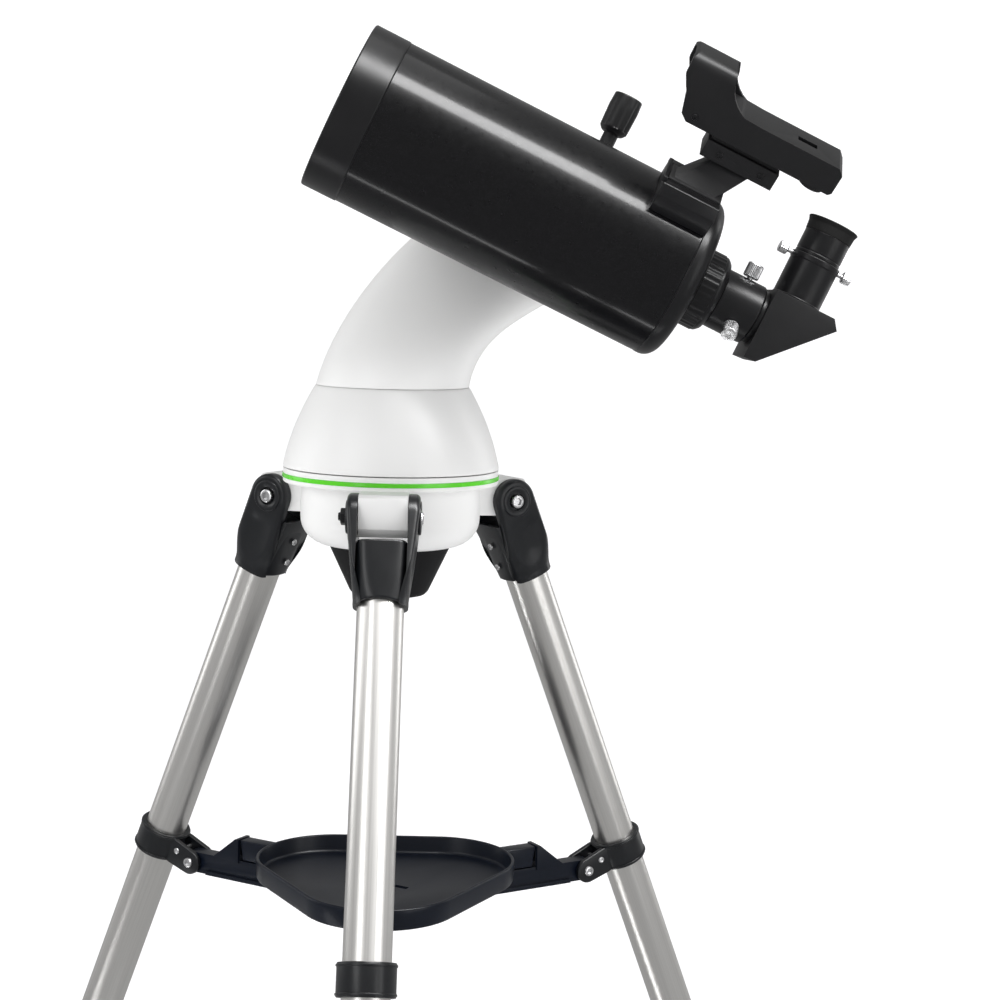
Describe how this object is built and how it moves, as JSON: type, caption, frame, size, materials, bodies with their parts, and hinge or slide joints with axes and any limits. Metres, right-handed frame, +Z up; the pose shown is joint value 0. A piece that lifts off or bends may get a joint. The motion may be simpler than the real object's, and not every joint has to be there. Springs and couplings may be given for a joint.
{
  "type": "telescope on tripod",
  "caption": "Compact mirror-lens telescope with red-dot finder and diagonal, on a motorised single-arm mount with a folding steel tripod and accessory tray.",
  "frame": {"origin": "on the floor, at the centre of the bottom of the bounding box of the whole object at rest", "axes": "+Z up; the telescope points towards -X, tilted up; the altitude axis runs along Y; the front leg points towards -Y"},
  "size_m": [0.6689, 0.6057, 0.9874],
  "materials": {
    "white_shell": "satin white moulded shell",
    "green_trim": "gloss green trim ring",
    "matt_black": "matt black",
    "fitting_plastic": "fine-grained moulded black plastic",
    "brushed_tube": "brushed stainless tube",
    "foot_rubber": "soft black rubber",
    "tray_plastic": "dark blue-black moulded plastic",
    "bright_steel": "bright turned steel",
    "tube_paint": "gloss black with fine silver speckle",
    "satin_ring": "satin black",
    "anodised_black": "black anodised",
    "knob_plastic": "fine-grained black plastic",
    "finder_plastic": "matt charcoal plastic",
    "diagonal_plastic": "matt charcoal plastic",
    "barrel_chrome": "chrome-plated barrel",
    "lens_glass": "coated optical glass",
    "mirror_coat": "first-surface mirror"
  },
  "bodies": {
    "base": {"base_bowl": "white_shell", "base_ring": "green_trim", "base_cone": "matt_black", "azimuth_spindle": "bright_steel", "pivot_bolts": "bright_steel"},
    "head": {"bell_housing": "white_shell", "arm_shell": "white_shell", "drive_motors": "bright_steel", "control_board": "matt_black"},
    "cradle": {"altitude_shaft": "bright_steel", "saddle": "anodised_black"},
    "clamp_knob": {"saddle_knob": "knob_plastic"},
    "tube": {"tube_shell": "tube_paint", "front_ring": "satin_ring", "corrector_lens": "lens_glass", "secondary_baffle": "matt_black", "rear_cell": "satin_ring", "baffle_tube": "matt_black", "dovetail_bar": "anodised_black", "finder_shoe": "anodised_black", "visual_back": "anodised_black", "back_thumbscrews": "bright_steel"},
    "mirror": {"primary_mirror": "mirror_coat"},
    "focuser": {"focus_knob": "knob_plastic"},
    "finder": {"finder_bracket": "finder_plastic", "finder_body": "finder_plastic"},
    "dimmer": {"finder_knob": "knob_plastic"},
    "diagonal": {"diagonal_body": "diagonal_plastic", "diagonal_barrel": "barrel_chrome", "diagonal_prism": "lens_glass", "eyepiece_holder": "anodised_black", "holder_thumbscrews": "bright_steel"},
    "ocular": {"eyepiece": "anodised_black", "eyecup": "foot_rubber"},
    "spreader": {"tray": "tray_plastic", "spreader_hub": "matt_black"},
    "leg_front": {"casting_front": "fitting_plastic", "leg_tube_front": "brushed_tube", "tray_clamp_front": "fitting_plastic", "lock_collar_front": "fitting_plastic"},
    "lower_leg_front": {"inner_leg_front": "brushed_tube", "foot_front": "foot_rubber"},
    "lock_front": {"lock_knob_front": "fitting_plastic"},
    "arm_front": {"tray_arm_front": "tray_plastic"},
    "leg_right": {"casting_right": "fitting_plastic", "leg_tube_right": "brushed_tube", "tray_clamp_right": "fitting_plastic", "lock_collar_right": "fitting_plastic"},
    "lower_leg_right": {"inner_leg_right": "brushed_tube", "foot_right": "foot_rubber"},
    "lock_right": {"lock_knob_right": "fitting_plastic"},
    "arm_right": {"tray_arm_right": "tray_plastic"},
    "leg_left": {"casting_left": "fitting_plastic", "leg_tube_left": "brushed_tube", "tray_clamp_left": "fitting_plastic", "lock_collar_left": "fitting_plastic"},
    "lower_leg_left": {"inner_leg_left": "brushed_tube", "foot_left": "foot_rubber"},
    "lock_left": {"lock_knob_left": "fitting_plastic"},
    "arm_left": {"tray_arm_left": "tray_plastic"}
  },
  "joints": [
    {"name": "azimuth_turn", "type": "hinge", "parent": "base", "child": "head", "pos_m": [-0.013, 0.0804, 0.68], "axis": [0, 0, 1], "continuous": true},
    {"name": "altitude_tilt", "type": "hinge", "parent": "head", "child": "cradle", "pos_m": [0.0998, -0.0039, 0.8631], "axis": [0, 1, 0], "range_deg": [-30.1, 64.9]},
    {"name": "clamp_knob_turn", "type": "hinge", "parent": "cradle", "child": "clamp_knob", "pos_m": [0.12356, 0.0636, 0.89614], "axis": [0.4242, 0, 0.9056], "continuous": true},
    {"name": "tube_slide", "type": "slide", "parent": "cradle", "child": "tube", "axis": [0.9056, 0, -0.4242], "range_m": [-0.015, 0.025]},
    {"name": "focus_turn", "type": "hinge", "parent": "tube", "child": "focuser", "pos_m": [0.19842, 0.0311, 0.83789], "axis": [0.9056, 0, -0.4242], "range_deg": [-541, 541]},
    {"name": "mirror_focus", "type": "slide", "parent": "tube", "child": "mirror", "axis": [0.9056, 0, -0.4242], "range_m": [-0.003, 0.003]},
    {"name": "finder_slide", "type": "slide", "parent": "tube", "child": "finder", "axis": [0.9056, 0, -0.4242], "range_m": [0, 0.03]},
    {"name": "dimmer_turn", "type": "hinge", "parent": "finder", "child": "dimmer", "pos_m": [0.25482, -0.0559, 0.88994], "axis": [0.3674, -0.5, 0.7842], "range_deg": [0, 270]},
    {"name": "diagonal_turn", "type": "hinge", "parent": "tube", "child": "diagonal", "pos_m": [0.23328, -0.0039, 0.80057], "axis": [0.9056, 0, -0.4242], "range_deg": [-90, 90]},
    {"name": "eyepiece_slide", "type": "slide", "parent": "diagonal", "child": "ocular", "axis": [0.4242, 0, 0.9056], "range_m": [0, 0.02]},
    {"name": "tray_lift", "type": "slide", "parent": "base", "child": "spreader", "axis": [0, 0, 1], "range_m": [0, 0.0842]},
    {"name": "leg_fold_front", "type": "hinge", "parent": "base", "child": "leg_front", "pos_m": [-0.01944, -0.01168, 0.66], "axis": [0.9976, -0.0698, 0], "range_deg": [0, 6]},
    {"name": "leg_extend_front", "type": "slide", "parent": "leg_front", "child": "lower_leg_front", "axis": [-0.0267, -0.3818, -0.9239], "range_m": [0, 0.36]},
    {"name": "leg_lock_front", "type": "hinge", "parent": "leg_front", "child": "lock_front", "pos_m": [-0.03806, -0.27795, 0.10706], "axis": [-0.0644, -0.9216, 0.3827], "continuous": true},
    {"name": "tray_arm_front", "type": "hinge", "parent": "leg_front", "child": "arm_front", "pos_m": [-0.02521, -0.09419, 0.36413], "axis": [0.9976, -0.0698, 0], "range_deg": [0, 34.1]},
    {"name": "leg_fold_right", "type": "hinge", "parent": "base", "child": "leg_right", "pos_m": [0.06996, 0.12086, 0.66], "axis": [-0.4384, 0.8988, 0], "range_deg": [0, 6]},
    {"name": "leg_extend_right", "type": "slide", "parent": "leg_right", "child": "lower_leg_right", "axis": [0.344, 0.1678, -0.9239], "range_m": [0, 0.36]},
    {"name": "leg_lock_right", "type": "hinge", "parent": "leg_right", "child": "lock_right", "pos_m": [0.30987, 0.23787, 0.10706], "axis": [0.8304, 0.405, 0.3827], "continuous": true},
    {"name": "tray_arm_right", "type": "hinge", "parent": "leg_right", "child": "arm_right", "pos_m": [0.14431, 0.15712, 0.36413], "axis": [-0.4384, 0.8988, 0], "range_deg": [0, 34.1]},
    {"name": "leg_fold_left", "type": "hinge", "parent": "base", "child": "leg_left", "pos_m": [-0.08952, 0.13201, 0.66], "axis": [-0.5592, -0.829, 0], "range_deg": [0, 6]},
    {"name": "leg_extend_left", "type": "slide", "parent": "leg_left", "child": "lower_leg_left", "axis": [-0.3173, 0.214, -0.9239], "range_m": [0, 0.36]},
    {"name": "leg_lock_left", "type": "hinge", "parent": "leg_left", "child": "lock_left", "pos_m": [-0.31081, 0.28127, 0.10706], "axis": [-0.7659, 0.5166, 0.3827], "continuous": true},
    {"name": "tray_arm_left", "type": "hinge", "parent": "leg_left", "child": "arm_left", "pos_m": [-0.1581, 0.17827, 0.36413], "axis": [-0.5592, -0.829, 0], "range_deg": [0, 34.1]}
  ],
  "couplings": [
    {"joint": "tray_arm_front", "follows": "leg_fold_front", "ratio": 5.6315},
    {"joint": "leg_fold_right", "follows": "leg_fold_front", "ratio": 1},
    {"joint": "tray_arm_right", "follows": "leg_fold_front", "ratio": 5.6315},
    {"joint": "leg_fold_left", "follows": "leg_fold_front", "ratio": 1},
    {"joint": "tray_arm_left", "follows": "leg_fold_front", "ratio": 5.6315},
    {"joint": "tray_lift", "follows": "leg_fold_front", "m_per_rad": 0.79913},
    {"joint": "focus_turn", "follows": "mirror_focus", "rad_per_m": 3141.6}
  ]
}
